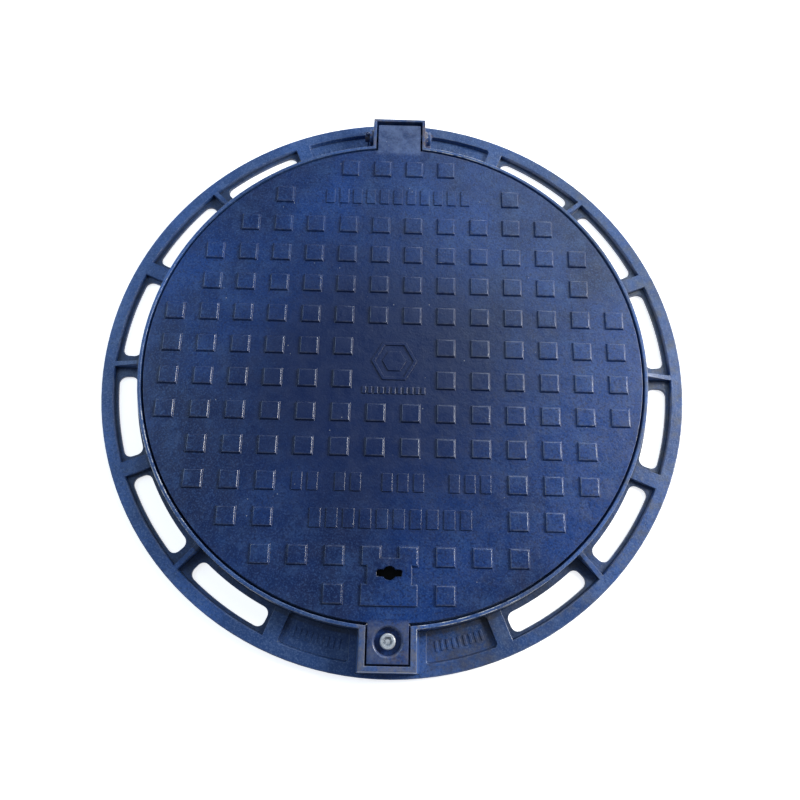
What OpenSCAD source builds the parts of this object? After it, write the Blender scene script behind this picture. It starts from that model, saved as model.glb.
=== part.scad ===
// Round ductile iron manhole cover with a hinged, lockable lid in a slotted frame.
// The base of the frame lies on z = 0, centred on the origin. +Z is up, and +Y points to the hinge.

/* [Frame] */
// Diameter of the clear opening inside the seat ledge
clear_d = 600; // [594:1:600]
// Diameter of the frame's flange
flange_d = 754; // [750:1:760]
// Height of the frame, from its base to the top of the lip
frame_h = 40; // [40:1:42]
// Height of the flange's outer rim
rim_h = 11; // [9:0.5:13]
// Thickness of the flange's floor
floor_t = 5; // [4:0.5:5]
// Width of the lip's top face
lip_w = 4; // [4:0.5:5]
// Gap between the cover and the lip
edge_gap = 3; // [2.5:0.5:3]

/* [Flange slots] */
// Width of a slot across the flange
slot_w = 24; // [20:1:24]
// Angle that a slot spans
slot_span = 17.7; // [12:0.1:18]
// Corner radius of a slot
slot_corner = 9; // [4:1:9]

/* [Cover] */
// Diameter of the cover's disc
cover_d = 630; // [630:1:630]
// Thickness of the cover's plate
plate_t = 7; // [6:0.5:8]
// Depth of the cover's outer rim, from its top face
cover_rim_h = 13; // [13:0.5:13]
// Width of the cover's ribs
rib_w = 6; // [5:0.5:8]
// Height of the underside of the ribs above the base
rib_z = 12; // [11:1:16]

/* [Tread] */
// Distance between the centres of the studs
stud_pitch = 43.5; // [43:0.1:43.5]
// Side of a stud at its foot
stud_side = 25; // [20:0.5:26]
// Height of a stud
stud_h = 3; // [2:0.5:4]
// Height of the plain blocks
block_h = 1.6; // [1:0.1:2.5]

/* [Hinge] */
// Width of the hinge tongue
hinge_w = 59; // [56:1:59]
// Diameter of the hinge pin
hinge_pin_d = 12; // [10:1:12]
// Radial running clearance between the pin and the tongue
hinge_play = 0.06; // [0.04:0.01:0.1]

/* [Lock] */
// Width of the lock tongue
lock_w = 47.5; // [46:0.5:47.5]
// Diameter of the lock spindle's head
lock_head_d = 18; // [18:1:22]
// Radial running clearance between the spindle and its bush
lock_play = 0.05; // [0.03:0.01:0.08]

/* [Hidden] */
$fn = 96;

paint = [0.13, 0.19, 0.36];
steel = [0.75, 0.76, 0.78];
zinc = [0.62, 0.60, 0.55];
black = [0.08, 0.08, 0.09];

// Frame ring: the seat ledge, the wall with its lip, and the flange
clear_r = clear_d / 2;
flange_r = flange_d / 2;
cover_r = cover_d / 2;
lip_r = cover_r + edge_gap;
lip_out_r = lip_r + lip_w;
wall_out_r = lip_out_r + 3.5;
wall_in_r = lip_r - 0.8;
rim_w = 15;
rim_in_r = flange_r - rim_w;
seat_z = frame_h - 14;
ledge_t = 6;
groove = [304, 312, 2.5];
gasket_proud = 0.95;
rim_chamfer = 1;

// Flange cells: a web, a rib or a pocket lies every 22.5 degrees, and slots lie between them
cell = 22.5;
slot_r = 345;
web_angles = [for (side = [-1, 1], k = [1, 3, 5, 7]) side * k * cell];
rib_angles = [for (side = [-1, 1], k = [2, 4, 6]) side * k * cell];
slot_angles = [for (side = [-1, 1], k = [1 : 6]) side * (k + 0.5) * cell];
web_w = 19;
gusset_w = 6;
gusset_z = 24;
panel_angles = [for (side = [-1, 1], base = [0, 180]) base + side * 14.2];
pocket_land = 45.5;
bar_step = 1.15;
bar_w = 3.2;
bar_y = [338, 350];
bar_h = 0.9;

// Hinge pocket and pin, at the +Y end
hinge_y = 342;
hinge_z = frame_h - 12;
hinge_end_y = 355;
hinge_pocket = [32, 361];
hinge_block = [36, 365, 2.5];
hinge_floor_z = 5.5;
hinge_boss_x = 39;
hinge_boss_r = 10;
pin_tail_x = 48;
pin_head = [9, 6, 2];
washer_r = 11;
washer_t = 2;
split_x = 44.3;
split_r = 1.5;
split_eye = [2.1, 0.95, 9.2];
split_leg = [0.9, 6.4, 28];
split_fork_z = 8.4;
barrel_r = 9.5;
tongue_root = 300;

// Lock pocket and lock stack, at the -Y end
lock_y = -334;
lock_end_y = -358.5;
lock_pocket = [25.75, 360.5];
lock_block = [33, 366.5, 5];
counterbore_r = 15.5;
counterbore_z = frame_h - 9;
boss_z = 20;
boss_r = 13;
bush_r = 9;
shank_r = 6;
head_washer = [8.8, 1.5];
socket = [6, 5];
centre_pin_r = 2.5;
ring_groove = [24.5, 26.7, 4.2];
ring_section = [5.1, 0.88];
square_w = 8;
thread_r = 4;
cam_z = [14.5, 19.5];
cam_reach = 24.5;
nut_z = [7.3, 12.3];
nut_af = 13;

// Keyhole, its pad and the cup below it
key_y = -258.5;
key_slot = [30, 8];
key_round_r = 8;
pad_neck = [26.5, -241, -272];
pad_foot = [33, -271, -295.5];
cup_r = 21;
cup_wall = 3;
cup_z = rib_z;
cup_ear_x = 29;
cup_boss_h = 4;
screw_r = 2.5;

// Cover's levels
ground_z = frame_h;
plate_z = ground_z - plate_t;
cover_rim_z = ground_z - cover_rim_h;
cover_draft = 1.5;
rim_foot_r = 303;
hub_r = 26;
ring_ribs = [[100, rib_z], [200, rib_z + 4]];
badge_y = 3;
badge_r = [29, 24.5, 15];

// ---------------------------------------------------------------- helpers

// Places its children at an angle clockwise from +Y, with their own +Y pointing outwards
module around(angle) {
    rotate([0, 0, -angle]) children();
}

// A cylinder along X, centred on the hinge axis
module on_hinge(r, x0, x1) {
    translate([x0, hinge_y, hinge_z]) rotate([0, 90, 0]) cylinder(r = r, h = x1 - x0);
}

// A cylinder along Z, centred on the lock axis
module on_lock(r, z0, z1) {
    translate([0, lock_y, z0]) cylinder(r = r, h = z1 - z0);
}

// A box given by its half width in X, its range in Y and its range in Z
module slab(half_w, y, z) {
    translate([-half_w, min(y), min(z)]) cube([2 * half_w, abs(y[1] - y[0]), abs(z[1] - z[0])]);
}

// A box that leans outwards on its sides and at its far end, from its top down to its foot
module drafted_block(half_w, y0, y1, z0, z1, draft) {
    intersection() {
        translate([0, y1 + 2 * draft, 0]) rotate([90, 0, 0]) linear_extrude(height = y1 - y0 + 2 * draft)
            polygon([[-half_w - draft, z0], [half_w + draft, z0], [half_w, z1], [-half_w, z1]]);
        translate([-half_w - 2 * draft, 0, 0]) rotate([90, 0, 90])
            linear_extrude(height = 2 * half_w + 4 * draft) polygon([[y0, z0], [y1 + draft, z0], [y1, z1], [y0, z1]]);
    }
}

// ---------------------------------------------------------------- frame

function polar(r, angle) = [r * sin(angle), r * cos(angle)];

// Points of an arc of the given centre and radius
function arc(centre, r, from, to, steps) =
    [for (i = [0 : steps]) centre + polar(r, from + (to - from) * i / steps)];

// Outline of a slot that follows the flange, with rounded corners
function slot_outline(inner, outer, half, corner) =
    let (
        far = outer - corner,
        near = inner + corner,
        far_half = half - asin(corner / far),
        near_half = half - asin(corner / near)
    )
    concat(
        arc([0, 0], outer, -far_half * 5 / 6, far_half * 5 / 6, 10),
        arc(polar(far, far_half), corner, far_half, half + 90, 6),
        arc(polar(near, near_half), corner, half + 90, near_half + 180, 6),
        arc([0, 0], inner, near_half * 5 / 6, -near_half * 5 / 6, 10),
        arc(polar(near, -near_half), corner, 180 - near_half, 270 - half, 6),
        arc(polar(far, -far_half), corner, 270 - half, 360 - far_half, 6)
    );

module frame_ring() {
    rotate_extrude() polygon([
        [clear_r, seat_z - ledge_t], [clear_r, seat_z],
        [groove[0], seat_z], [groove[0], seat_z - groove[2]],
        [groove[1], seat_z - groove[2]], [groove[1], seat_z],
        [wall_in_r, seat_z], [lip_r, frame_h], [lip_out_r, frame_h],
        [wall_out_r, floor_t], [rim_in_r - 1, floor_t], [rim_in_r, rim_h],
        [flange_r - rim_chamfer, rim_h], [flange_r, rim_h - rim_chamfer], [flange_r, 0],
        [wall_in_r, 0], [wall_in_r, seat_z - ledge_t]
    ]);
}

module webs() {
    for (angle = web_angles)
        around(angle) slab(web_w / 2, [lip_r + 3, rim_in_r + 3], [0, rim_h]);
}

// Each gusset runs down from the wall to the top of the rim
module gussets() {
    for (angle = rib_angles)
        around(angle) translate([-gusset_w / 2, 0, 0]) rotate([90, 0, 90]) linear_extrude(height = gusset_w)
            polygon([[lip_r + 3, 0], [lip_r + 3, gusset_z], [rim_in_r + 3, rim_h - 0.5], [rim_in_r + 3, 0]]);
}

module slots() {
    for (angle = slot_angles)
        around(angle) translate([0, 0, -1]) linear_extrude(height = floor_t + 2)
            polygon(slot_outline(slot_r - slot_w / 2, slot_r + slot_w / 2, slot_span / 2, slot_corner));
}

// The land level with the rim on both sides of a pocket, which the closed panels stop at
module pocket_lands() {
    for (angle = [0, 180])
        around(angle) slab(pocket_land, [lip_r + 3, rim_in_r + 3], [0, rim_h]);
}

// Rows of plain raised bars on the closed panels
module panel_bars() {
    for (angle = panel_angles, k = [-4 : 4])
        around(angle + bar_step * k) slab(bar_w / 2, bar_y, [floor_t - 1, floor_t + bar_h]);
}

module hinge_pocket_block() {
    drafted_block(hinge_block[0], lip_r + 1, hinge_block[1], 0, frame_h, hinge_block[2]);
    on_hinge(hinge_boss_r, -hinge_boss_x, hinge_boss_x);
}

module hinge_pocket_space() {
    slab(hinge_pocket[0], [clear_r - 5, hinge_pocket[1]], [seat_z, frame_h + 1]);
    slab(hinge_pocket[0], [327, hinge_pocket[1]], [hinge_floor_z, frame_h]);
    on_hinge(hinge_pin_d / 2, -hinge_boss_x - 1, hinge_boss_x + 1);
}

module lock_pocket_block() {
    rotate([0, 0, 180])
        drafted_block(lock_block[0], lip_r + 1, lock_block[1], 0, frame_h, lock_block[2]);
}

// The pocket opens below the seat ledge, so that the cam can turn in under it
module lock_pocket_space() {
    slab(lock_pocket[0], [-lock_pocket[1], -clear_r + 5], [seat_z, frame_h + 1]);
    slab(lock_pocket[0], [-lock_pocket[1], -groove[1] - 3.5], [floor_t, frame_h]);
}

module frame() {
    color(paint) difference() {
        union() {
            frame_ring();
            webs();
            gussets();
            pocket_lands();
            panel_bars();
            hinge_pocket_block();
            lock_pocket_block();
        }
        slots();
        hinge_pocket_space();
        lock_pocket_space();
    }
}

module seat_gasket() {
    top_z = seat_z + gasket_proud;
    color(black) rotate_extrude() polygon([
        [groove[0], seat_z - groove[2]], [groove[1], seat_z - groove[2]], [groove[1], seat_z],
        [groove[1] - 1, top_z], [groove[0] + 1, top_z], [groove[0], seat_z]
    ]);
}

// ---------------------------------------------------------------- hinge fixings

module hinge_pin() {
    color(zinc) difference() {
        union() {
            on_hinge(hinge_pin_d / 2, -pin_tail_x, hinge_boss_x + 1);
            translate([hinge_boss_x, hinge_y, hinge_z]) rotate([0, 90, 0]) rotate_extrude()
                polygon([
                    [0, 0], [pin_head[0], 0], [pin_head[0], pin_head[1] - pin_head[2]],
                    [pin_head[0] - pin_head[2], pin_head[1]], [0, pin_head[1]]
                ]);
        }
        translate([-split_x, hinge_y, hinge_z - 10]) cylinder(r = split_r, h = 20);
    }
}

module hinge_washer() {
    color(zinc) difference() {
        on_hinge(washer_r, -hinge_boss_x - washer_t, -hinge_boss_x);
        on_hinge(hinge_pin_d / 2 + 0.2, -hinge_boss_x - washer_t - 1, -hinge_boss_x + 1);
    }
}

// A cotter: an eye on top, a round shank through the pin, and two legs bent apart below
module hinge_split_pin() {
    color(zinc) translate([-split_x, hinge_y, hinge_z]) {
        translate([0, 0, -split_fork_z - 0.6]) cylinder(r = split_r, h = split_fork_z + 0.6 + split_eye[2] - 2);
        translate([0, 0, split_eye[2]]) rotate([90, 0, 0]) rotate_extrude()
            translate([split_eye[0], 0]) circle(r = split_eye[1]);
        for (side = [-1, 1])
            translate([0, 0, -split_fork_z]) rotate([side * split_leg[2], 0, 0])
                translate([0, 0, 0.4 - split_leg[1]]) cylinder(r = split_leg[0], h = split_leg[1]);
    }
}

// ---------------------------------------------------------------- cover

function in_disc(u, v) = norm([abs(u) + 0.28, abs(v) + 0.28]) <= 7.15;
function in_band(u, v) =
    (v == 5.5 && abs(u) < 3) || (abs(v) == 0.5 && abs(u) < 1) ||
    ((v == -3.5 || v == -4.5) && abs(u) < 3);
function in_pad(u, v) = v == -6.5 && abs(u) < 1;

module stud() {
    linear_extrude(height = stud_h + 1, scale = 0.86) square(stud_side, center = true);
}

module studs() {
    for (u = [-6.5 : 6.5], v = [-6.5 : 6.5])
        if (in_disc(u, v) && !in_band(u, v) && !in_pad(u, v))
            translate([u * stud_pitch, v * stud_pitch, ground_z - 1]) stud();
}

// The solid pad around the keyhole, which joins the studs on either side of it
module key_pad() {
    top_z = ground_z + stud_h;
    for (part = [pad_neck, pad_foot])
        slab(part[0], [part[1], part[2]], [ground_z - 1, top_z]);
}

// A row of plain blocks, in groups that each start at their own place along X
module block_row(y, size, pitch, groups) {
    for (group = groups, k = [0 : group[1] - 1])
        translate([group[0] + k * pitch - size[0] / 2, y - size[1] / 2, ground_z - 1])
            cube([size[0], size[1], block_h + 1]);
}

// A six-sided ring with a solid six-sided boss in it, over a strip of small blocks
module badge() {
    translate([0, badge_y, ground_z - 1]) {
        difference() {
            cylinder(r = badge_r[0], h = block_h + 1, $fn = 6);
            translate([0, 0, -1]) cylinder(r = badge_r[1], h = block_h + 3, $fn = 6);
        }
        cylinder(r = badge_r[2], h = block_h + 1, $fn = 6);
    }
    block_row(-36, [4.6, 9], 7.4, [[-37, 11]]);
}

module plain_blocks() {
    block_row(5.5 * stud_pitch, [11.5, 22], 18.2, [[-91, 11]]);
    block_row(-3.5 * stud_pitch, [12, 22], 19, [[-114, 2], [-62, 2], [-5, 3], [76, 3]]);
    block_row(-4.5 * stud_pitch, [13, 23], 20, [[-90, 10]]);
    badge();
}

module cover_disc() {
    rotate_extrude() polygon([
        [0, plate_z], [rim_foot_r, plate_z], [rim_foot_r + cover_draft, cover_rim_z],
        [cover_r - cover_draft, cover_rim_z], [cover_r, ground_z], [0, ground_z]
    ]);
}

module ribs() {
    for (k = [0 : 7])
        around((k + 0.5) * 45) translate([-rib_w / 2, 0, 0]) rotate([90, 0, 90]) linear_extrude(height = rib_w)
            polygon([
                [0, rib_z], [150, rib_z], [clear_r - 4, seat_z - 4], [clear_r - 2, cover_rim_z],
                [rim_foot_r + 2, cover_rim_z], [rim_foot_r + 2, plate_z + 1], [0, plate_z + 1]
            ]);
    for (ring = ring_ribs)
        rotate_extrude() translate([ring[0] - rib_w / 2, ring[1]]) square([rib_w, plate_z + 1 - ring[1]]);
    translate([0, 0, rib_z]) cylinder(r = hub_r, h = plate_z + 1 - rib_z);
}

module hinge_tongue() {
    half_w = hinge_w / 2;
    slab(half_w, [tongue_root, hinge_end_y], [hinge_z + 1, ground_z]);
    slab(half_w, [hinge_y - barrel_r, hinge_y + barrel_r], [hinge_z, ground_z]);
    on_hinge(barrel_r, -half_w, half_w);
}

module lock_tongue() {
    slab(lock_w / 2, [lock_end_y, -tongue_root], [cover_rim_z, ground_z]);
    on_lock(boss_r, boss_z, ground_z);
}

module lock_bore() {
    on_lock(bush_r, boss_z - 1, ground_z);
    on_lock(counterbore_r, counterbore_z, ground_z + 1);
    translate([0, lock_y, ground_z - 2]) rotate_extrude() polygon([
        [0, 0], [counterbore_r, 0], [counterbore_r + 3, 3], [0, 3]
    ]);
}

module key_hole() {
    translate([0, key_y, plate_z - 1]) cylinder(r = key_round_r, h = plate_t + stud_h + 2);
    translate([-key_slot[0] / 2, key_y - key_slot[1] / 2, plate_z - 1])
        cube([key_slot[0], key_slot[1], plate_t + stud_h + 2]);
}

module cup_bosses() {
    for (side = [-1, 1])
        translate([side * cup_ear_x, key_y, plate_z - cup_boss_h]) cylinder(r = 6, h = cup_boss_h + 1);
}

module cup_screw_holes() {
    for (side = [-1, 1])
        translate([side * cup_ear_x, key_y, plate_z - cup_boss_h - 1])
            cylinder(r = screw_r, h = cup_boss_h + 5);
}

module cover() {
    color(paint) difference() {
        union() {
            cover_disc();
            ribs();
            hinge_tongue();
            lock_tongue();
            cup_bosses();
            studs();
            key_pad();
            plain_blocks();
        }
        on_hinge(hinge_pin_d / 2 + hinge_play, -hinge_w, hinge_w);
        lock_bore();
        key_hole();
        cup_screw_holes();
    }
}

// ---------------------------------------------------------------- key cup

module key_cup() {
    ear_z = plate_z - cup_boss_h - 3;
    color(black) translate([0, key_y, 0]) difference() {
        union() {
            translate([0, 0, cup_z]) cylinder(r = cup_r, h = plate_z - cup_z);
            slab(cup_ear_x, [-6, 6], [ear_z, ear_z + 3]);
            for (side = [-1, 1])
                translate([side * cup_ear_x, 0, ear_z]) cylinder(r = 6, h = 3);
        }
        translate([0, 0, cup_z + 2]) cylinder(r = cup_r - cup_wall, h = plate_z);
        for (side = [-1, 1])
            translate([side * cup_ear_x, 0, ear_z - 1]) cylinder(r = screw_r + 0.2, h = 5);
    }
}

module key_cup_screws() {
    ear_z = plate_z - cup_boss_h - 3;
    color(steel) for (side = [-1, 1])
        translate([side * cup_ear_x, key_y, ear_z]) difference() {
            union() {
                cylinder(r = screw_r, h = 10);
                translate([0, 0, -2.5]) cylinder(r = 4.5, h = 2.5);
            }
            translate([-3.2, -0.6, -3]) cube([6.4, 1.2, 1.7]);
            translate([-0.6, -3.2, -3]) cube([1.2, 6.4, 1.7]);
        }
}

// ---------------------------------------------------------------- lock

module lock_bush() {
    color(zinc) difference() {
        on_lock(bush_r, cam_z[1] + 0.1, counterbore_z);
        on_lock(shank_r + lock_play, boss_z - 2, counterbore_z + 1);
    }
}

// The head has a six-sided socket with a centre pin, and the foot is squared for the cam
module lock_spindle() {
    head_z = counterbore_z + head_washer[1];
    head_r = lock_head_d / 2;
    head_top = ground_z - 0.5;
    socket_z = head_top - socket[1];
    color(steel) difference() {
        union() {
            translate([0, lock_y, 0]) rotate_extrude() polygon([
                [0, cam_z[1]], [shank_r, cam_z[1]], [shank_r, ring_groove[0]],
                [ring_groove[2], ring_groove[0]], [ring_groove[2], ring_groove[1]],
                [shank_r, ring_groove[1]], [shank_r, head_z], [head_r, head_z],
                [head_r, head_top - 1.2], [head_r - 1.2, head_top], [0, head_top]
            ]);
            translate([-square_w / 2, lock_y - square_w / 2, cam_z[0]])
                cube([square_w, square_w, cam_z[1] - cam_z[0] + 0.5]);
            on_lock(thread_r, nut_z[0] - 0.8, cam_z[0] + 1);
        }
        difference() {
            translate([0, lock_y, socket_z]) cylinder(r = socket[0], h = socket[1] + 1, $fn = 6);
            on_lock(centre_pin_r, socket_z - 1, head_top - 0.6);
        }
    }
}

module lock_head_washer() {
    color(steel) difference() {
        on_lock(head_washer[0], counterbore_z, counterbore_z + head_washer[1]);
        on_lock(shank_r + 0.1, counterbore_z - 1, counterbore_z + 3);
    }
}

module lock_o_ring() {
    color(black) translate([0, lock_y, (ring_groove[0] + ring_groove[1]) / 2]) rotate_extrude()
        translate([ring_section[0], 0]) circle(r = ring_section[1]);
}

// At rest the cam points to -X, clear of the ledge, and a quarter turn brings it under the ledge
module lock_cam() {
    color(zinc) difference() {
        intersection() {
            union() {
                on_lock(9.5, cam_z[0], cam_z[1]);
                translate([-cam_reach, lock_y - 7, cam_z[0]]) cube([cam_reach, 14, cam_z[1] - cam_z[0]]);
            }
            on_lock(cam_reach, cam_z[0], cam_z[1]);
        }
        translate([-square_w / 2, lock_y - square_w / 2, cam_z[0] - 1]) cube([square_w, square_w, 10]);
    }
}

module lock_spring_washer() {
    color(zinc) difference() {
        on_lock(7.3, nut_z[1], cam_z[0]);
        on_lock(thread_r + 0.1, nut_z[1] - 1, cam_z[0] + 1);
        translate([0, lock_y, nut_z[1] - 1]) rotate([0, 0, 20]) translate([0, -0.6, 0]) cube([10, 1.2, 5]);
    }
}

module lock_nut() {
    color(zinc) difference() {
        translate([0, lock_y, nut_z[0]]) cylinder(r = nut_af / 2 / cos(30), h = nut_z[1] - nut_z[0], $fn = 6);
        on_lock(thread_r, nut_z[0] - 1, nut_z[1] + 1);
    }
}

frame();
seat_gasket();
hinge_pin();
hinge_washer();
hinge_split_pin();
cover();
key_cup();
key_cup_screws();
lock_bush();
lock_spindle();
lock_head_washer();
lock_o_ring();
lock_cam();
lock_spring_washer();
lock_nut();
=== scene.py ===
"""The looks of a round manhole cover with a hinged, lockable lid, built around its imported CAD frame.

The two iron castings are rebuilt from their CAD shapes with rounded, cast edges, and replace the CAD nodes.
The fixings, the lock and the seals keep their CAD meshes and get rounded edges from modifiers.
Lengths are in metres, in the CAD model's own frame: +Z is up and +Y points to the hinge.
"""

import math

import bmesh
import bpy
from mathutils import Matrix, Vector
from mathutils.bvhtree import BVHTree


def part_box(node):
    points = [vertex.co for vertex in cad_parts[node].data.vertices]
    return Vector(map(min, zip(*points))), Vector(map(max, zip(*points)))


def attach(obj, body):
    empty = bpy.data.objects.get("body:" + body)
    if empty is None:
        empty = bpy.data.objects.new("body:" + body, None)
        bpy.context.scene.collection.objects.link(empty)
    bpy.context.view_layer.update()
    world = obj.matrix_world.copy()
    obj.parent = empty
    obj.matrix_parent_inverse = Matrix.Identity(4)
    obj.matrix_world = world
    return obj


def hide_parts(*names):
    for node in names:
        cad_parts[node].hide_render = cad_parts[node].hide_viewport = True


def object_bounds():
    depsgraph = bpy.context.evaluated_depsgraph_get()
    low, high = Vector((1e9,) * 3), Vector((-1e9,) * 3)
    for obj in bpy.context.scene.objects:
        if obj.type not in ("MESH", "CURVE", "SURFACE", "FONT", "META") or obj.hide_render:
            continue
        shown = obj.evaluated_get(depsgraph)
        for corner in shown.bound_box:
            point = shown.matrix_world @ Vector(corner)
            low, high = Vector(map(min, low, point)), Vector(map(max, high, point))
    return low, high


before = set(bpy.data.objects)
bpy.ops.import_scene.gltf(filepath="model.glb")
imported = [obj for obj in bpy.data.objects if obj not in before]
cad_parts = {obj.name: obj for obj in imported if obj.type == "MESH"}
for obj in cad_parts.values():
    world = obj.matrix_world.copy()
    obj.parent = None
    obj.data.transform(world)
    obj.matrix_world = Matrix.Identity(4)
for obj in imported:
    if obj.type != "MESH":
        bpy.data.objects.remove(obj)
CAD_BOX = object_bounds()
MM = 0.001

# Levels and places, read from the CAD nodes
STUD_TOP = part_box("cover")[1].z
LIP_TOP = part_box("frame")[1].z
SPINDLE_LOW, SPINDLE_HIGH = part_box("lock_spindle")
LOCK_AXIS = (SPINDLE_LOW + SPINDLE_HIGH) / 2
FLANGE_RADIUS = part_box("frame")[1].x
COVER_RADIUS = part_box("cover")[1].x

# Limits for cleaning a CAD mesh and for telling its edges apart
WELD = 0.002 * MM
CUT_SLACK = 0.02 * MM
FRAME_SLIVER = 0.05 * MM
COVER_SLIVER = 0.004 * MM
RIB_SLIVER = 0.9 * MM
FLAT_ANGLE = math.radians(0.6)
SHARP_ANGLE = math.radians(25)
SMOOTH_ANGLE = math.radians(40)
STRAY = 1.8 * MM
PLAIN_AREA = 60 * MM * MM
LEVEL_SLACK = 0.2 * MM

# Cuts that keep the flat faces small. A cut with this level goes through the whole casting.
BELOW_ALL = -1.0
TOP_ONLY = LIP_TOP - LEVEL_SLACK
STUD_PITCH = 43.5 * MM
CELL_ANGLE = 22.5
PANEL_CUT = 14.775

# Widths of the roundings
PANEL_CORNER = 4.0 * MM
RIM_ROUNDING = 0.6 * MM
FRAME_ROUNDING = 0.9 * MM
BAR_ROUNDING = 0.3 * MM
KEYHOLE_CORNER = 2.5 * MM
KEYHOLE_ROUNDING = 0.5 * MM
STUD_ROUNDING = 1.5 * MM
FOOT_ROUNDING = 0.4 * MM
BLOCK_ROUNDING = 0.5 * MM
COVER_ROUNDING = 0.95 * MM

# Where the frame's features lie
PANEL_FLOOR = 4.9 * MM
PANEL_START_X = 40 * MM
PANEL_SPREAD = 0.40
PANEL_CORNER_HEIGHT = 4 * MM
BAR_TOP = 6.0 * MM
BAR_RADII = (337.5 * MM, 351.5 * MM)
BAR_LENGTH = 12.5 * MM
BAR_FRONT = COVER_RADIUS - 15 * MM
RIM_TOP = 11.5 * MM
RIM_RADIUS = 366 * MM
CHAMFER_RADIUS = FLANGE_RADIUS - 2 * MM
CHAMFER_FOOT = 9.0 * MM

# Where the cover's features lie
BLOCK_TOP = LIP_TOP + 1.65 * MM
PLATE_FOOT = 33.1 * MM
KEYHOLE_Y = -258.5 * MM
KEYHOLE_REACH = (20 * MM, 10 * MM)
KEYHOLE_END = (14 * MM, 16 * MM)
KEYHOLE_HALF = 5 * MM
KEYHOLE_DEPTH = 8 * MM
KEY_CUP_REACH = (45 * MM, 25 * MM)

# Camera, as a handheld view from the lock side
CAMERA_AT = Vector((-0.0017, -0.3065, 0.902))
CAMERA_AIM = Vector((0.0083, -0.0481, 0.040))
CAMERA_ROLL = 3.5
CAMERA_LENS = 32.50


# ---------------------------------------------------------------- castings


def bisect(bm, point, normal, level):
    """Cuts the faces above a level along a plane, and marks the cuts so that cleaning keeps them."""
    faces = [face for face in bm.faces if min(v.co.z for v in face.verts) > level]
    chosen = set(faces)
    corners = [item for item in bm.verts[:] + bm.edges[:] if not chosen.isdisjoint(item.link_faces)]
    geometry = corners + faces
    cut = bmesh.ops.bisect_plane(bm, geom=geometry, dist=CUT_SLACK, plane_co=point, plane_no=normal)
    for item in cut["geom_cut"]:
        if isinstance(item, bmesh.types.BMEdge):
            item.seam = True


def clean_copy(node, planes, sliver):
    """A welded copy of a CAD node's mesh, cut by the planes, with each flat face between cuts made whole."""
    bm = bmesh.new()
    bm.from_mesh(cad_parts[node].data)
    bmesh.ops.remove_doubles(bm, verts=bm.verts, dist=WELD)
    for point, normal, level in planes:
        bisect(bm, point, normal, level)
    bmesh.ops.dissolve_degenerate(bm, dist=sliver, edges=bm.edges)
    bmesh.ops.dissolve_limit(
        bm, angle_limit=FLAT_ANGLE, verts=bm.verts, edges=bm.edges, delimit={"SEAM"}
    )
    bmesh.ops.dissolve_degenerate(bm, dist=sliver, edges=bm.edges)
    return bm


def round_edges(bm, wanted, width, segments=2):
    """Rounds every sharp edge that is wanted. The middle of a crest is marked 1 and of a crease -1."""
    layer = bm.verts.layers.float.get("edge_mark") or bm.verts.layers.float.new("edge_mark")
    sharp = [
        e for e in bm.edges
        if len(e.link_faces) == 2 and e.calc_face_angle(0) > SHARP_ANGLE and wanted(e)
    ]
    result = bmesh.ops.bevel(
        bm, geom=sharp, offset=width, offset_type="OFFSET", segments=segments, profile=0.5,
        affect="EDGES", clamp_overlap=False, loop_slide=True,
    )
    fresh = set(result["faces"])
    for vertex in result["verts"]:
        if vertex.is_valid and all(face in fresh for face in vertex.link_faces):
            bend = sum(e.calc_face_angle_signed(0) for e in vertex.link_edges)
            vertex[layer] = 1.0 if bend > 0 else -1.0


def clear_marks(bm):
    """Unmarks wide roundings, which are corners and no edges that wear, catch a painted highlight or hold
    painted shade.
    """
    layer = bm.verts.layers.float["edge_mark"]
    for vertex in bm.verts:
        vertex[layer] = 0.0


def settle_strays(bm, node):
    """Puts the few points that a rounding has thrown far off, or above the node, back on its CAD surface."""
    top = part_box(node)[1].z + WELD
    surface = bmesh.new()
    surface.from_mesh(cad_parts[node].data)
    tree = BVHTree.FromBMesh(surface)
    surface.free()
    for vertex in bm.verts:
        nearest, _, _, distance = tree.find_nearest(vertex.co)
        if distance > STRAY or vertex.co.z > top:
            vertex.co = nearest


def unmark_plain_faces(bm):
    """Keeps the marks off the corners of wide flat faces, so that wear, painted highlights and painted
    crease shade stay on the edges.
    """
    layer = bm.verts.layers.float["edge_mark"]
    for vertex in bm.verts:
        if any(face.calc_area() > PLAIN_AREA for face in vertex.link_faces):
            vertex[layer] = 0.0


def piece_from(bm, name, node, body, material):
    """Turns a finished bmesh into the visible piece that stands for a CAD node."""
    settle_strays(bm, node)
    unmark_plain_faces(bm)
    bmesh.ops.remove_doubles(bm, verts=bm.verts, dist=0.001 * MM)
    bmesh.ops.recalc_face_normals(bm, faces=bm.faces)
    for face in bm.faces:
        face.smooth = True
    mesh = bpy.data.meshes.new(name)
    bm.to_mesh(mesh)
    bm.free()
    mesh.set_sharp_from_angle(angle=SMOOTH_ANGLE)
    piece = bpy.data.objects.new(name, mesh)
    bpy.context.scene.collection.objects.link(piece)
    normals = piece.modifiers.new("soft_edges", "WEIGHTED_NORMAL")
    normals.keep_sharp = True
    normals.weight = 80
    mesh.materials.append(material)
    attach(piece, body)
    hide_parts(node)
    return piece


def radial_plane(angle):
    """A vertical plane through the centre, at an angle clockwise from +Y, that cuts at every level."""
    turn = math.radians(angle)
    return Vector((0, 0, 0)), Vector((math.cos(turn), -math.sin(turn), 0)), BELOW_ALL


def grid_planes(normal):
    """Vertical planes between the studs, which cut only the top. The middle one cuts at every level."""
    places = range(-7, 8)
    return [(normal * k * STUD_PITCH, normal, TOP_ONLY if k else BELOW_ALL) for k in places]


def is_bar_edge(edge):
    """Whether an edge belongs to the low bars on the closed panels."""
    if edge.calc_length() > BAR_LENGTH:
        return False
    for vertex in edge.verts:
        if not PANEL_FLOOR < vertex.co.z < BAR_TOP or abs(vertex.co.y) < BAR_FRONT:
            return False
        if not BAR_RADII[0] < vertex.co.xy.length < BAR_RADII[1]:
            return False
    return True


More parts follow.
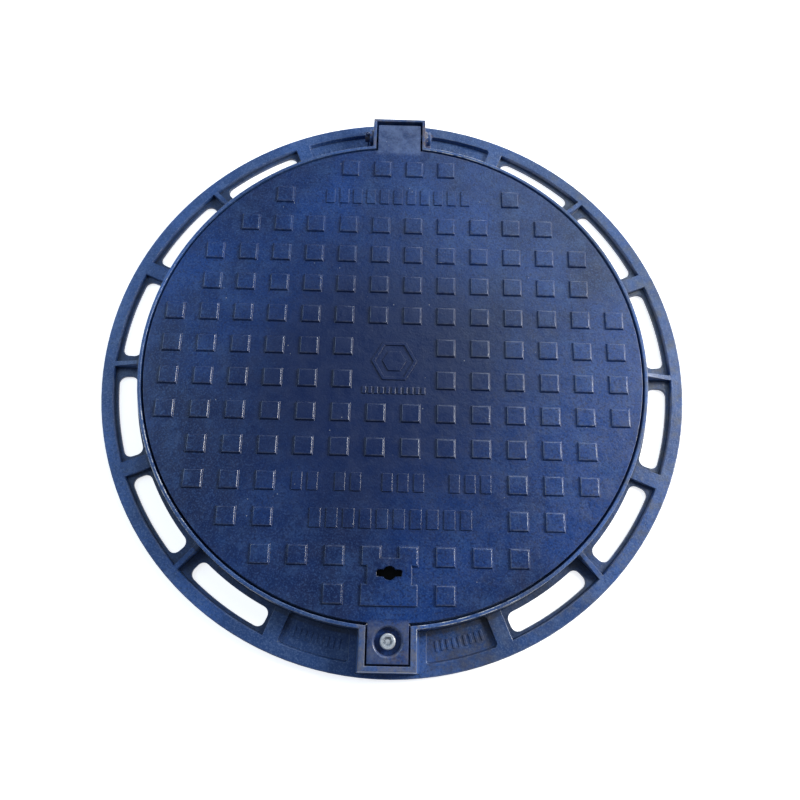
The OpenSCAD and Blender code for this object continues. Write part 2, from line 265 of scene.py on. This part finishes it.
def is_panel_corner(edge):
    """Whether an edge is one of the upright inner corners of the closed panels."""
    first, second = (v.co for v in edge.verts)
    if abs(first.z - second.z) < PANEL_CORNER_HEIGHT or max(first.z, second.z) > RIM_TOP or edge.is_convex:
        return False
    middle = (first + second) / 2
    in_panel = PANEL_START_X < abs(middle.x) < PANEL_SPREAD * abs(middle.y)
    return in_panel and middle.xy.length < RIM_RADIUS


def is_rim_edge(edge):
    """Whether an edge belongs to the narrow chamfer around the flange, which gets its own rounding."""
    return all(v.co.xy.length > CHAMFER_RADIUS and v.co.z > CHAMFER_FOOT for v in edge.verts)


def frame_casting(material):
    planes = [radial_plane((k + 1.5) * CELL_ANGLE) for k in range(6)]
    planes += [radial_plane(PANEL_CUT), radial_plane(-PANEL_CUT)]
    bm = clean_copy("frame", planes, FRAME_SLIVER)
    round_edges(bm, is_panel_corner, PANEL_CORNER, 4)
    clear_marks(bm)
    round_edges(bm, is_rim_edge, RIM_ROUNDING)
    round_edges(bm, lambda e: not is_bar_edge(e) and not is_rim_edge(e), FRAME_ROUNDING)
    round_edges(bm, is_bar_edge, BAR_ROUNDING, 1)
    return piece_from(bm, "frame_casting", "frame", "frame", material)


def is_block_edge(edge):
    """Whether an edge belongs to the low plain blocks and the badge."""
    for face in edge.link_faces:
        heights = [v.co.z for v in face.verts]
        if abs(face.normal.z) < 0.5 and min(heights) > LIP_TOP - LEVEL_SLACK and max(heights) < BLOCK_TOP:
            return True
    return False


def is_keyhole_corner(edge):
    """Whether an edge is one of the upright corners at the ends of the keyhole's slot."""
    first, second = (v.co for v in edge.verts)
    at_end = KEYHOLE_END[0] < abs(first.x) < KEYHOLE_END[1] and abs(first.y - KEYHOLE_Y) < KEYHOLE_HALF
    return at_end and abs(first.z - second.z) > KEYHOLE_DEPTH


def is_at_keyhole(edge):
    """Whether an edge belongs to the keyhole."""
    reach_x, reach_y = KEYHOLE_REACH
    return all(abs(v.co.x) < reach_x and abs(v.co.y - KEYHOLE_Y) < reach_y for v in edge.verts)


def is_stud_crest(edge):
    """Whether an edge is a top edge of a stud or of the pad, away from the keyhole."""
    return all(v.co.z > STUD_TOP - LEVEL_SLACK for v in edge.verts) and not is_at_keyhole(edge)


def is_stud_foot(edge):
    """Whether an edge lies at the foot or up a corner of a stud or of the pad."""
    if min(v.co.z for v in edge.verts) < LIP_TOP - LEVEL_SLACK:
        return False
    return any(f.normal.z < 0.9 and max(v.co.z for v in f.verts) > BLOCK_TOP for f in edge.link_faces)


def is_body_edge(edge):
    """Whether an edge belongs to the plate, the ribs or the tongues."""
    return all(v.co.z < LIP_TOP + 0.1 * MM for v in edge.verts) and not is_at_keyhole(edge)


def is_rib_edge(edge):
    """Whether an edge lies on the underside, away from the key cup's seat."""
    if any(v.co.z > PLATE_FOOT for v in edge.verts):
        return False
    reach_x, reach_y = KEY_CUP_REACH
    return not any(abs(v.co.x) < reach_x and v.co.y < KEYHOLE_Y + reach_y for v in edge.verts)


def cover_casting(material):
    planes = grid_planes(Vector((1, 0, 0))) + grid_planes(Vector((0, 1, 0)))
    bm = clean_copy("cover", planes, COVER_SLIVER)
    bmesh.ops.dissolve_degenerate(bm, dist=RIB_SLIVER, edges=[e for e in bm.edges if is_rib_edge(e)])
    round_edges(bm, is_keyhole_corner, KEYHOLE_CORNER, 3)
    clear_marks(bm)
    round_edges(bm, is_stud_crest, STUD_ROUNDING, 4)
    round_edges(bm, is_stud_foot, FOOT_ROUNDING)
    round_edges(bm, is_block_edge, BLOCK_ROUNDING)
    round_edges(bm, is_at_keyhole, KEYHOLE_ROUNDING)
    round_edges(bm, is_body_edge, COVER_ROUNDING, 3)
    return piece_from(bm, "cover_casting", "cover", "cover", material)


# ---------------------------------------------------------------- CAD fixings


def finish_fixing(node, material, width):
    """Gives a CAD node its material and rounds its edges with modifiers, which leave its mesh as it is."""
    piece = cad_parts[node]
    piece.data.materials.clear()
    piece.data.materials.append(material)
    weld = piece.modifiers.new("weld", "WELD")
    weld.merge_threshold = WELD
    bevel = piece.modifiers.new("round_edges", "BEVEL")
    bevel.width = width
    bevel.segments = 2
    bevel.limit_method = "ANGLE"
    bevel.angle_limit = SHARP_ANGLE
    bevel.use_clamp_overlap = True
    normals = piece.modifiers.new("soft_edges", "WEIGHTED_NORMAL")
    normals.keep_sharp = True


# ---------------------------------------------------------------- material tools


class Nodes:
    """Short ways to build one material's node tree."""

    def __init__(self, name):
        self.material = bpy.data.materials.new(name)
        self.material.use_nodes = True
        self.tree = self.material.node_tree
        self.shader = self.tree.nodes["Principled BSDF"]
        self.place = self.tree.nodes.new("ShaderNodeTexCoord").outputs["Object"]
        split = self.tree.nodes.new("ShaderNodeSeparateXYZ")
        self.tree.links.new(self.place, split.inputs[0])
        self.axes = split.outputs

    def put(self, socket, value):
        if isinstance(value, bpy.types.NodeSocket):
            self.tree.links.new(value, socket)
        else:
            socket.default_value = value

    def noise(self, scale, detail=3.0, roughness=0.55, place=None, stretch=None):
        """Noise from about 0 to 1. The scale is the number of bumps in a metre."""
        node = self.tree.nodes.new("ShaderNodeTexNoise")
        node.inputs["Scale"].default_value = scale
        node.inputs["Detail"].default_value = detail
        node.inputs["Roughness"].default_value = roughness
        source = place or self.place
        if stretch:
            mapping = self.tree.nodes.new("ShaderNodeMapping")
            mapping.inputs["Scale"].default_value = stretch
            self.put(mapping.inputs["Vector"], source)
            source = mapping.outputs[0]
        self.put(node.inputs["Vector"], source)
        return node.outputs["Fac"]

    def cells(self, scale):
        """Distance to the nearest of many scattered points, for specks and pits."""
        node = self.tree.nodes.new("ShaderNodeTexVoronoi")
        node.inputs["Scale"].default_value = scale
        self.put(node.inputs["Vector"], self.place)
        return node.outputs["Distance"]

    def math(self, kind, a, b=0.0, clamp=False):
        node = self.tree.nodes.new("ShaderNodeMath")
        node.operation = kind
        node.use_clamp = clamp
        self.put(node.inputs[0], a)
        self.put(node.inputs[1], b)
        return node.outputs[0]

    def ramp(self, value, low, high, out_low=0.0, out_high=1.0):
        """A smooth step from out_low at low to out_high at high."""
        node = self.tree.nodes.new("ShaderNodeMapRange")
        node.interpolation_type = "SMOOTHSTEP"
        limits = {"From Min": low, "From Max": high, "To Min": out_low, "To Max": out_high}
        for name, number in limits.items():
            node.inputs[name].default_value = number
        self.put(node.inputs["Value"], value)
        return node.outputs[0]

    def blend(self, share, a, b):
        """Colour a where share is 0 and colour b where it is 1."""
        node = self.tree.nodes.new("ShaderNodeMix")
        node.data_type = "RGBA"
        self.put(node.inputs[0], share)
        self.put(node.inputs[6], a)
        self.put(node.inputs[7], b)
        return node.outputs[2]

    def band(self, axis, low, high, soft):
        """1 where the coordinate lies between low and high, fading over soft."""
        value = self.axes[axis]
        up = self.ramp(value, low - soft, low + soft)
        down = self.ramp(value, high - soft, high + soft, 1.0, 0.0)
        return self.math("MULTIPLY", up, down)

    def zone(self, low, high, soft):
        """1 inside a box in the CAD frame, fading over soft."""
        value = self.band("X", low[0], high[0], soft)
        value = self.math("MULTIPLY", value, self.band("Y", low[1], high[1], soft))
        return self.math("MULTIPLY", value, self.band("Z", low[2], high[2], min(soft, 2 * MM)))

    def radius(self, centre=(0.0, 0.0)):
        """Distance from a vertical axis."""
        sides = [self.math("SUBTRACT", self.axes[axis], at) for axis, at in zip("XY", centre)]
        squares = [self.math("MULTIPLY", side, side) for side in sides]
        return self.math("SQRT", self.math("ADD", *squares))

    def attribute(self, name):
        node = self.tree.nodes.new("ShaderNodeAttribute")
        node.attribute_name = name
        return node.outputs["Fac"]

    def bump(self, height, distance, strength=1.0, below=None):
        node = self.tree.nodes.new("ShaderNodeBump")
        node.inputs["Strength"].default_value = strength
        node.inputs["Distance"].default_value = distance
        self.put(node.inputs["Height"], height)
        if below:
            self.put(node.inputs["Normal"], below)
        return node.outputs[0]

    def finish(self, color, roughness, normal=None, metallic=0.0, **uniform):
        """Connects the surface. Uniform values go straight onto the shader's sockets."""
        self.put(self.shader.inputs["Base Color"], color)
        self.put(self.shader.inputs["Roughness"], roughness)
        self.put(self.shader.inputs["Metallic"], metallic)
        if normal:
            self.put(self.shader.inputs["Normal"], normal)
        for name, value in uniform.items():
            self.shader.inputs[name.replace("_", " ")].default_value = value
        return self.material


def rgb(red, green, blue):
    return (red, green, blue, 1.0)


# ---------------------------------------------------------------- materials


COVER_NAVY = (rgb(0.0022, 0.0120, 0.064), rgb(0.0042, 0.0370, 0.182), rgb(0.040, 0.092, 0.240))
FRAME_NAVY = (rgb(0.0160, 0.0500, 0.164), rgb(0.0340, 0.1020, 0.330), rgb(0.118, 0.186, 0.350))
# Pale blue: a worn haze and a painted sheen
HAZE_AND_SHEEN = rgb(0.130, 0.180, 0.330)
# Pale grey dusting, which towards +X also stands for a painted sheen
DUST_AND_SHEEN = rgb(0.085, 0.088, 0.094)
PALE_DUST = rgb(0.170, 0.170, 0.190)
# Near black for the creases: painted shade with dirt
CREASE_SHADE_AND_GRIME = rgb(0.008, 0.010, 0.015)
# Dark silt and painted shade
SILT_AND_SHADE = rgb(0.016, 0.022, 0.030)
BROWN_DIRT = rgb(0.060, 0.050, 0.045)
BARE_IRON = rgb(0.175, 0.155, 0.135)
RUST = rgb(0.085, 0.036, 0.018)
PRIMER = rgb(0.150, 0.112, 0.082)
CHIP = rgb(0.50, 0.50, 0.48)
# Pale crests: scuffed paint and a painted highlight
SCUFF_AND_GLINT = rgb(0.30, 0.32, 0.36)
# Near white, for the painted highlight on the lips
LIP_GLINT_WHITE = rgb(0.64, 0.65, 0.67)


# The middle of the darker part of the cover: painted shade where the lamps leave the middle dull
SHADED_MIDDLE_CENTRE = (-0.020, -0.020)

# Boxes on the cover that carry a stain: its hinge end, its lock end, the corner of that, and the whole top
HINGE_END = ((-0.030, 0.308, 0.037), (0.030, 0.357, 0.045))
LOCK_END = ((-0.024, -0.359, 0.036), (0.024, -0.312, 0.045))
LOCK_CORNER = ((0.000, -0.360, 0.036), (0.026, -0.345, 0.045))
WHOLE_TOP = ((-0.32, -0.32, 0.038), (0.32, 0.32, 0.045))

# Boxes on the frame that carry a stain: the pockets' walls, the pin's end, the panel right of the lock
HINGE_WALLS = ((-0.042, 0.318, 0.036), (0.042, 0.370, 0.045))
PIN_END = ((0.034, 0.322, 0.010), (0.050, 0.362, 0.045))
LOCK_WALLS = ((-0.037, -0.372, 0.033), (0.037, -0.312, 0.045))
RIGHT_PANEL = ((0.046, -0.366, 0.003), (0.125, -0.300, 0.012))

# Boxes in which the lip's edges are painted near white, a painted highlight along with wear: right of the
# hinge, beside the lock, and at the lower left
LIP_GLINT_BOXES = (
    ((0.036, 0.285, 0.037), (0.135, 0.345, 0.045)),
    ((0.030, -0.345, 0.037), (0.150, -0.285, 0.045)),
    ((-0.330, -0.240, 0.037), (-0.240, -0.060, 0.045)),
)

# Where silt and painted shade lie on the frame: a smooth step between each pair of coordinates
SLOT_CELLS_X = (0.129, 0.133)
CELL_Z = (0.0100, 0.0065)
LIP_SLOPE_RADII = (0.3212, 0.3228)
SLOPE_END_RADII = (0.3320, 0.3300)
LIP_SLOPE_Z = (0.0398, 0.0380)


def cast_bump(m, grain):
    """Sand-cast skin: slow waves, a coarse grain of the sand and a fine tooth on top."""
    waves = m.bump(m.noise(28, 2.0), 1.1 * MM, 0.5)
    lumps = m.bump(m.noise(120, 3.0, 0.6), 0.50 * MM, 0.7, below=waves)
    sand = m.bump(m.noise(330, 3.0, 0.6), grain, 0.9, below=lumps)
    return m.bump(m.noise(1300, 2.0), 0.08 * MM, 0.8, below=sand)


def paint_colour(m, shades):
    """Dip paint that varies in depth, with cloudy pale stretches, a fine mottle and dark pores."""
    deep, middle, pale = shades
    clouds = m.ramp(m.noise(5.5, 4.0, 0.6), 0.36, 0.66)
    patches = m.ramp(m.noise(34, 4.0, 0.65), 0.46, 0.74)
    mottle = m.ramp(m.noise(480, 2.0, 0.6), 0.46, 0.68)
    pores = m.ramp(m.noise(330, 3.0, 0.7), 0.50, 0.36)
    colour = m.blend(clouds, deep, middle)
    colour = m.blend(m.math("MULTIPLY", patches, 0.42), colour, pale)
    colour = m.blend(m.math("MULTIPLY", mottle, 0.50), colour, pale)
    return m.blend(m.math("MULTIPLY", pores, 0.80), colour, deep)


def with_dust_sheen_and_crease_shade(m, colour, right_dust_sheen_share, crease_shade_share):
    """Dust that lies thin all over and thicker towards +X, where the paler side is also a painted sheen, and
    dark dirt with painted shade in the creases.
    """
    # Paler towards +X: part dusting, part a painted sheen from the lit side.
    dust_sheen_spread = m.ramp(m.axes["X"], -0.10, 0.42, 0.03, right_dust_sheen_share)
    broken = m.ramp(m.noise(60, 5.0, 0.7), 0.40, 0.75)
    dust_and_sheen = m.math("MULTIPLY", dust_sheen_spread, broken)
    colour = m.blend(dust_and_sheen, colour, DUST_AND_SHEEN)
    # Darker in the creases: painted shade, with some dirt.
    crease = m.ramp(m.attribute("edge_mark"), -0.2, -0.95, 0.0, crease_shade_share)
    return m.blend(crease, colour, CREASE_SHADE_AND_GRIME)


def with_edge_wear_and_glint(m, colour, pale, share):
    """Thin, scuffed paint along the crests of the edges, more so towards +X, where the pale crests are also
    a painted highlight.
    """
    crest = m.ramp(m.attribute("edge_mark"), 0.35, 0.98)
    # The pale crests grow towards +X: a painted highlight on the edges that face the lit side, along with
    # wear.
    side = m.ramp(m.axes["X"], -0.20, 0.25, 0.45, 1.0)
    scuffed = m.ramp(m.noise(150, 4.0, 0.7), 0.34, 0.62, 0.25, 1.0)
    wear = m.math("MULTIPLY", m.math("MULTIPLY", crest, side), m.math("MULTIPLY", scuffed, share))
    return m.blend(wear, colour, pale)


def paint_roughness(m, low, high):
    """Satin paint, polished along the crests of the edges."""
    roughness = m.ramp(m.noise(48, 4.0, 0.6), 0.30, 0.75, low, high)
    return m.math("MULTIPLY", roughness, m.ramp(m.attribute("edge_mark"), 0.2, 0.95, 1.0, 0.52))


def stain(m, colour, zone, tint, scale, low, high, share):
    """A broken stain of a tint inside a zone."""
    broken = m.ramp(m.noise(scale, 5.0, 0.7), low, high)
    return m.blend(m.math("MULTIPLY", m.math("MULTIPLY", zone, broken), share), colour, tint)


def specks(m, colour, zone, tint, scale, size, share):
    """Small hard-edged chips, only in places where a second noise lets them through."""
    dots = m.ramp(m.cells(scale), size, size * 0.6)
    gate = m.ramp(m.noise(scale * 0.21, 2.0), 0.58, 0.62)
    chipped = m.math("MULTIPLY", m.math("MULTIPLY", dots, gate), m.math("MULTIPLY", zone, share))
    return m.blend(chipped, colour, tint)


def cover_paint():
    m = Nodes("cover_paint")
    colour = paint_colour(m, COVER_NAVY)
    # Darker towards the middle: painted shade.
    shaded_middle = m.ramp(m.radius(SHADED_MIDDLE_CENTRE), 0.28, 0.08, 0.0, 0.92)
    colour = m.blend(shaded_middle, colour, COVER_NAVY[0])
    # Paler towards +X from dusting and a painted sheen, darker creases from dirt and painted shade, pale
    # crests from wear and, towards +X, a painted highlight.
    colour = with_edge_wear_and_glint(m, with_dust_sheen_and_crease_shade(m, colour, 0.30, 0.40), SCUFF_AND_GLINT, 0.26)
    hinge_end = m.zone(*HINGE_END, 4 * MM)
    # Paler blue on the hinge end: a worn haze with a painted sheen.
    colour = stain(m, colour, hinge_end, HAZE_AND_SHEEN, 70, 0.20, 0.70, 0.62)
    colour = specks(m, colour, hinge_end, CHIP, 260, 0.16, 0.8)
    colour = stain(m, colour, m.zone(*LOCK_END, 3 * MM), PALE_DUST, 70, 0.30, 0.80, 0.5)
    colour = stain(m, colour, m.zone(*LOCK_CORNER, 5 * MM), PRIMER, 160, 0.38, 0.68, 0.45)
    colour = specks(m, colour, m.zone(*WHOLE_TOP, 4 * MM), CHIP, 95, 0.08, 0.5)
    return m.finish(colour, paint_roughness(m, 0.30, 0.44), cast_bump(m, 0.28 * MM))


def with_silt_and_shade(m, colour):
    """Dark silt with painted shade on the floors of the slot cells and on the outer slope of the lip."""
    broken = m.ramp(m.noise(45, 4.0, 0.65), 0.30, 0.65, 0.45, 1.0)
    beside = m.ramp(m.math("ABSOLUTE", m.axes["X"]), *SLOT_CELLS_X)
    cell = m.math("MULTIPLY", beside, m.ramp(m.axes["Z"], *CELL_Z))
    slope = m.math("MULTIPLY", m.ramp(m.radius(), *LIP_SLOPE_RADII), m.ramp(m.axes["Z"], *LIP_SLOPE_Z))
    slope = m.math("MULTIPLY", slope, m.ramp(m.radius(), *SLOPE_END_RADII))
    share = m.math("MULTIPLY", m.math("MAXIMUM", cell, slope), broken)
    # Darker slot floors and lip slope: silt and painted shade.
    return m.blend(m.math("MULTIPLY", share, 0.62), colour, SILT_AND_SHADE)


def frame_paint():
    m = Nodes("frame_paint")
    # The frame's paint: dusting with a painted sheen towards +X, and painted shade with dirt in its creases.
    colour = with_dust_sheen_and_crease_shade(m, with_silt_and_shade(m, paint_colour(m, FRAME_NAVY)), 0.78, 0.80)
    # Pale crests on the frame: wear, and towards +X a painted highlight.
    colour = with_edge_wear_and_glint(m, colour, SCUFF_AND_GLINT, 0.7)
    # Near-white lip crests in these boxes: a painted highlight, with some wear.
    for low, high in LIP_GLINT_BOXES:
        worn = m.math("MULTIPLY", m.zone(low, high, 6 * MM), m.ramp(m.attribute("edge_mark"), 0.05, 0.5))
        colour = stain(m, colour, worn, LIP_GLINT_WHITE, 75, 0.42, 0.58, 0.95)
    colour = stain(m, colour, m.zone(*HINGE_WALLS, 2 * MM), PRIMER, 85, 0.36, 0.66, 0.62)
    colour = stain(m, colour, m.zone(*PIN_END, 2 * MM), RUST, 130, 0.40, 0.62, 0.6)
    colour = stain(m, colour, m.zone(*LOCK_WALLS, 2 * MM), BARE_IRON, 95, 0.33, 0.66, 0.62)
    colour = stain(m, colour, m.zone(*RIGHT_PANEL, 6 * MM), BROWN_DIRT, 60, 0.36, 0.66, 0.55)
    return m.finish(colour, paint_roughness(m, 0.34, 0.50), cast_bump(m, 0.42 * MM))


def rubber(name):
    m = Nodes(name)
    mottle = m.ramp(m.noise(240, 4.0), 0.35, 0.75)
    colour = m.blend(mottle, rgb(0.012, 0.012, 0.013), rgb(0.034, 0.034, 0.036))
    roughness = m.ramp(m.noise(500, 2.0), 0.3, 0.7, 0.62, 0.80)
    return m.finish(colour, roughness, m.bump(m.noise(900, 3.0), 0.05 * MM))


def moulded_plastic():
    m = Nodes("cup_plastic")
    grain = m.noise(1500, 2.0)
    colour = m.blend(m.ramp(m.noise(60, 3.0), 0.35, 0.7), rgb(0.016, 0.016, 0.018), rgb(0.034, 0.034, 0.036))
    roughness = m.ramp(grain, 0.3, 0.7, 0.42, 0.58)
    return m.finish(colour, roughness, m.bump(grain, 0.04 * MM))


def turned_rings(m, axis_at, pitch):
    """Fine rings around a vertical axis, as a lathe leaves them."""
    mapping = m.tree.nodes.new("ShaderNodeMapping")
    mapping.inputs["Location"].default_value = (-axis_at.x, -axis_at.y, 0)
    m.put(mapping.inputs["Vector"], m.place)
    wave = m.tree.nodes.new("ShaderNodeTexWave")
    wave.wave_type = "RINGS"
    wave.rings_direction = "Z"
    wave.inputs["Scale"].default_value = 0.314 / pitch
    wave.inputs["Distortion"].default_value = 0.6
    m.put(wave.inputs["Vector"], mapping.outputs[0])
    return wave.outputs["Fac"]


def machined_steel(name, tint, low, high, metallic=1.0):
    """Turned steel with fine rings, small scratches and smudges."""
    m = Nodes(name)
    rings = turned_rings(m, LOCK_AXIS, 0.35 * MM)
    smudge = m.ramp(m.noise(160, 4.0, 0.65), 0.45, 0.80)
    colour = m.blend(smudge, tint, rgb(tint[0] * 0.55, tint[1] * 0.55, tint[2] * 0.54))
    roughness = m.ramp(m.noise(220, 3.0), 0.3, 0.7, low, high)
    normal = m.bump(rings, 0.012 * MM)
    normal = m.bump(m.noise(700, 3.0), 0.03 * MM, below=normal)
    return m.finish(colour, roughness, normal, metallic=metallic)


def plated_steel(name):
    """Zinc plate gone dull, with rust that breaks through in patches."""
    m = Nodes(name)
    dull = m.ramp(m.noise(170, 4.0, 0.65), 0.35, 0.7)
    colour = m.blend(dull, rgb(0.40, 0.385, 0.35), rgb(0.24, 0.23, 0.215))
    patches = m.ramp(m.noise(150, 5.0, 0.7), 0.56, 0.69)
    shade = m.blend(m.ramp(m.noise(600, 3.0), 0.35, 0.7), RUST, rgb(0.20, 0.100, 0.045))
    colour = m.blend(patches, colour, shade)
    roughness = m.ramp(patches, 0.0, 1.0, 0.42, 0.85)
    metal = m.ramp(patches, 0.0, 1.0, 0.85, 0.0)
    return m.finish(colour, roughness, m.bump(m.noise(850, 4.0), 0.07 * MM), metallic=metal)


def overpainted_steel():
    """Steel dipped with the frame: thin navy paint, brown where it has worn off, and a few bright chips."""
    m = Nodes("hinge_steel")
    colour = paint_colour(m, FRAME_NAVY)
    worn = m.ramp(m.noise(140, 5.0, 0.7), 0.44, 0.62, 0.0, 0.8)
    colour = m.blend(worn, colour, rgb(0.052, 0.034, 0.026))
    chips = m.math("MULTIPLY", m.ramp(m.cells(330), 0.26, 0.16), m.ramp(m.noise(75, 2.0), 0.54, 0.58))
    colour = m.blend(chips, colour, CHIP)
    roughness = m.ramp(m.noise(300, 3.0), 0.3, 0.7, 0.40, 0.62)
    return m.finish(colour, roughness, m.bump(m.noise(850, 4.0), 0.09 * MM))


def turned_bronze():
    m = Nodes("bush_bronze")
    tarnish = m.ramp(m.noise(190, 4.0), 0.35, 0.7)
    colour = m.blend(tarnish, rgb(0.55, 0.36, 0.16), rgb(0.28, 0.18, 0.09))
    roughness = m.ramp(tarnish, 0.0, 1.0, 0.28, 0.50)
    return m.finish(colour, roughness, m.bump(turned_rings(m, LOCK_AXIS, 0.3 * MM), 0.01 * MM), metallic=1.0)


def floor_material():
    m = Nodes("pale_floor")
    tone = m.ramp(m.noise(3.0, 2.0), 0.3, 0.7)
    colour = m.blend(tone, rgb(0.86, 0.86, 0.86), rgb(0.89, 0.89, 0.89))
    return m.finish(colour, 0.75, Emission_Color=rgb(1, 1, 1), Emission_Strength=FLOOR_GLOW)


# ---------------------------------------------------------------- stage


FLOOR_HALF = 6.0
FLOOR_GAP = 0.2 * MM
FLOOR_GLOW = 0.75
WORLD_LIGHT = 0.17


def add_floor():
    size = FLOOR_HALF
    mesh = bpy.data.meshes.new("floor")
    corners = [(-size, -size, 0), (size, -size, 0), (size, size, 0), (-size, size, 0)]
    mesh.from_pydata(corners, [], [(0, 1, 2, 3)])
    mesh.materials.append(floor_material())
    floor = bpy.data.objects.new("floor", mesh)
    floor.location.z = CAD_BOX[0].z - FLOOR_GAP
    bpy.context.scene.collection.objects.link(floor)


def add_world():
    world = bpy.data.worlds.new("studio")
    world.use_nodes = True
    background = world.node_tree.nodes["Background"]
    background.inputs["Color"].default_value = rgb(0.78, 0.89, 1.0)
    background.inputs["Strength"].default_value = WORLD_LIGHT
    bpy.context.scene.world = world


def add_area(name, azimuth, elevation, distance, size, power, tint):
    """A soft square light that faces the object. Azimuth is clockwise from +Y."""
    turn = math.radians(azimuth)
    rise = math.radians(elevation)
    away = Vector((math.sin(turn) * math.cos(rise), math.cos(turn) * math.cos(rise), math.sin(rise)))
    light = bpy.data.lights.new(name, "AREA")
    light.size = size
    light.energy = power
    light.color = tint
    lamp = bpy.data.objects.new(name, light)
    lamp.location = away * distance
    lamp.rotation_euler = (-away).to_track_quat("-Z", "Y").to_euler()
    bpy.context.scene.collection.objects.link(lamp)


def add_lights():
    add_area("key", 75, 32, 2.6, 1.0, 76, (1.0, 0.99, 0.97))
    add_area("sheen", 32, 50, 3.0, 1.6, 20, (0.72, 0.88, 1.0))
    add_area("back", 12, 17, 3.0, 1.2, 16, (0.90, 0.95, 1.0))
    add_area("fill", -70, 40, 2.8, 1.6, 24, (0.60, 0.80, 1.0))


def add_camera():
    forward = (CAMERA_AIM - CAMERA_AT).normalized()
    level = forward.cross(Vector((0, 0, 1))).normalized()
    right = Matrix.Rotation(math.radians(CAMERA_ROLL), 3, -forward) @ level
    up = right.cross(forward)
    data = bpy.data.cameras.new("camera")
    data.lens = CAMERA_LENS
    data.sensor_width = 36
    data.clip_start = 0.01
    camera = bpy.data.objects.new("camera", data)
    turn = Matrix((right, up, -forward)).transposed().to_4x4()
    camera.matrix_world = Matrix.Translation(CAMERA_AT) @ turn
    bpy.context.scene.collection.objects.link(camera)
    bpy.context.scene.camera = camera


# ---------------------------------------------------------------- the scene


def finish_fixings():
    hinge_steel = overpainted_steel()
    cam_steel = plated_steel("cam_steel")
    lock_steel = machined_steel("lock_steel", rgb(0.74, 0.77, 0.82), 0.28, 0.44, 0.55)
    screw_steel = machined_steel("screw_steel", rgb(0.60, 0.60, 0.60), 0.28, 0.45)
    for node in ("hinge_pin", "hinge_washer", "hinge_split_pin"):
        finish_fixing(node, hinge_steel, 0.25 * MM)
    for node in ("lock_cam", "lock_spring_washer", "lock_nut"):
        finish_fixing(node, cam_steel, 0.25 * MM)
    for node in ("lock_spindle", "lock_head_washer"):
        finish_fixing(node, lock_steel, 0.25 * MM)
    finish_fixing("key_cup_screws", screw_steel, 0.15 * MM)
    finish_fixing("key_cup", moulded_plastic(), 0.4 * MM)
    finish_fixing("lock_bush", turned_bronze(), 0.2 * MM)
    finish_fixing("seat_gasket", rubber("gasket_rubber"), 0.25 * MM)
    finish_fixing("lock_o_ring", rubber("ring_rubber"), 0.1 * MM)


frame_casting(frame_paint())
cover_casting(cover_paint())
finish_fixings()
add_floor()
add_world()
add_lights()
add_camera()
bpy.context.scene.view_settings.view_transform = "Standard"
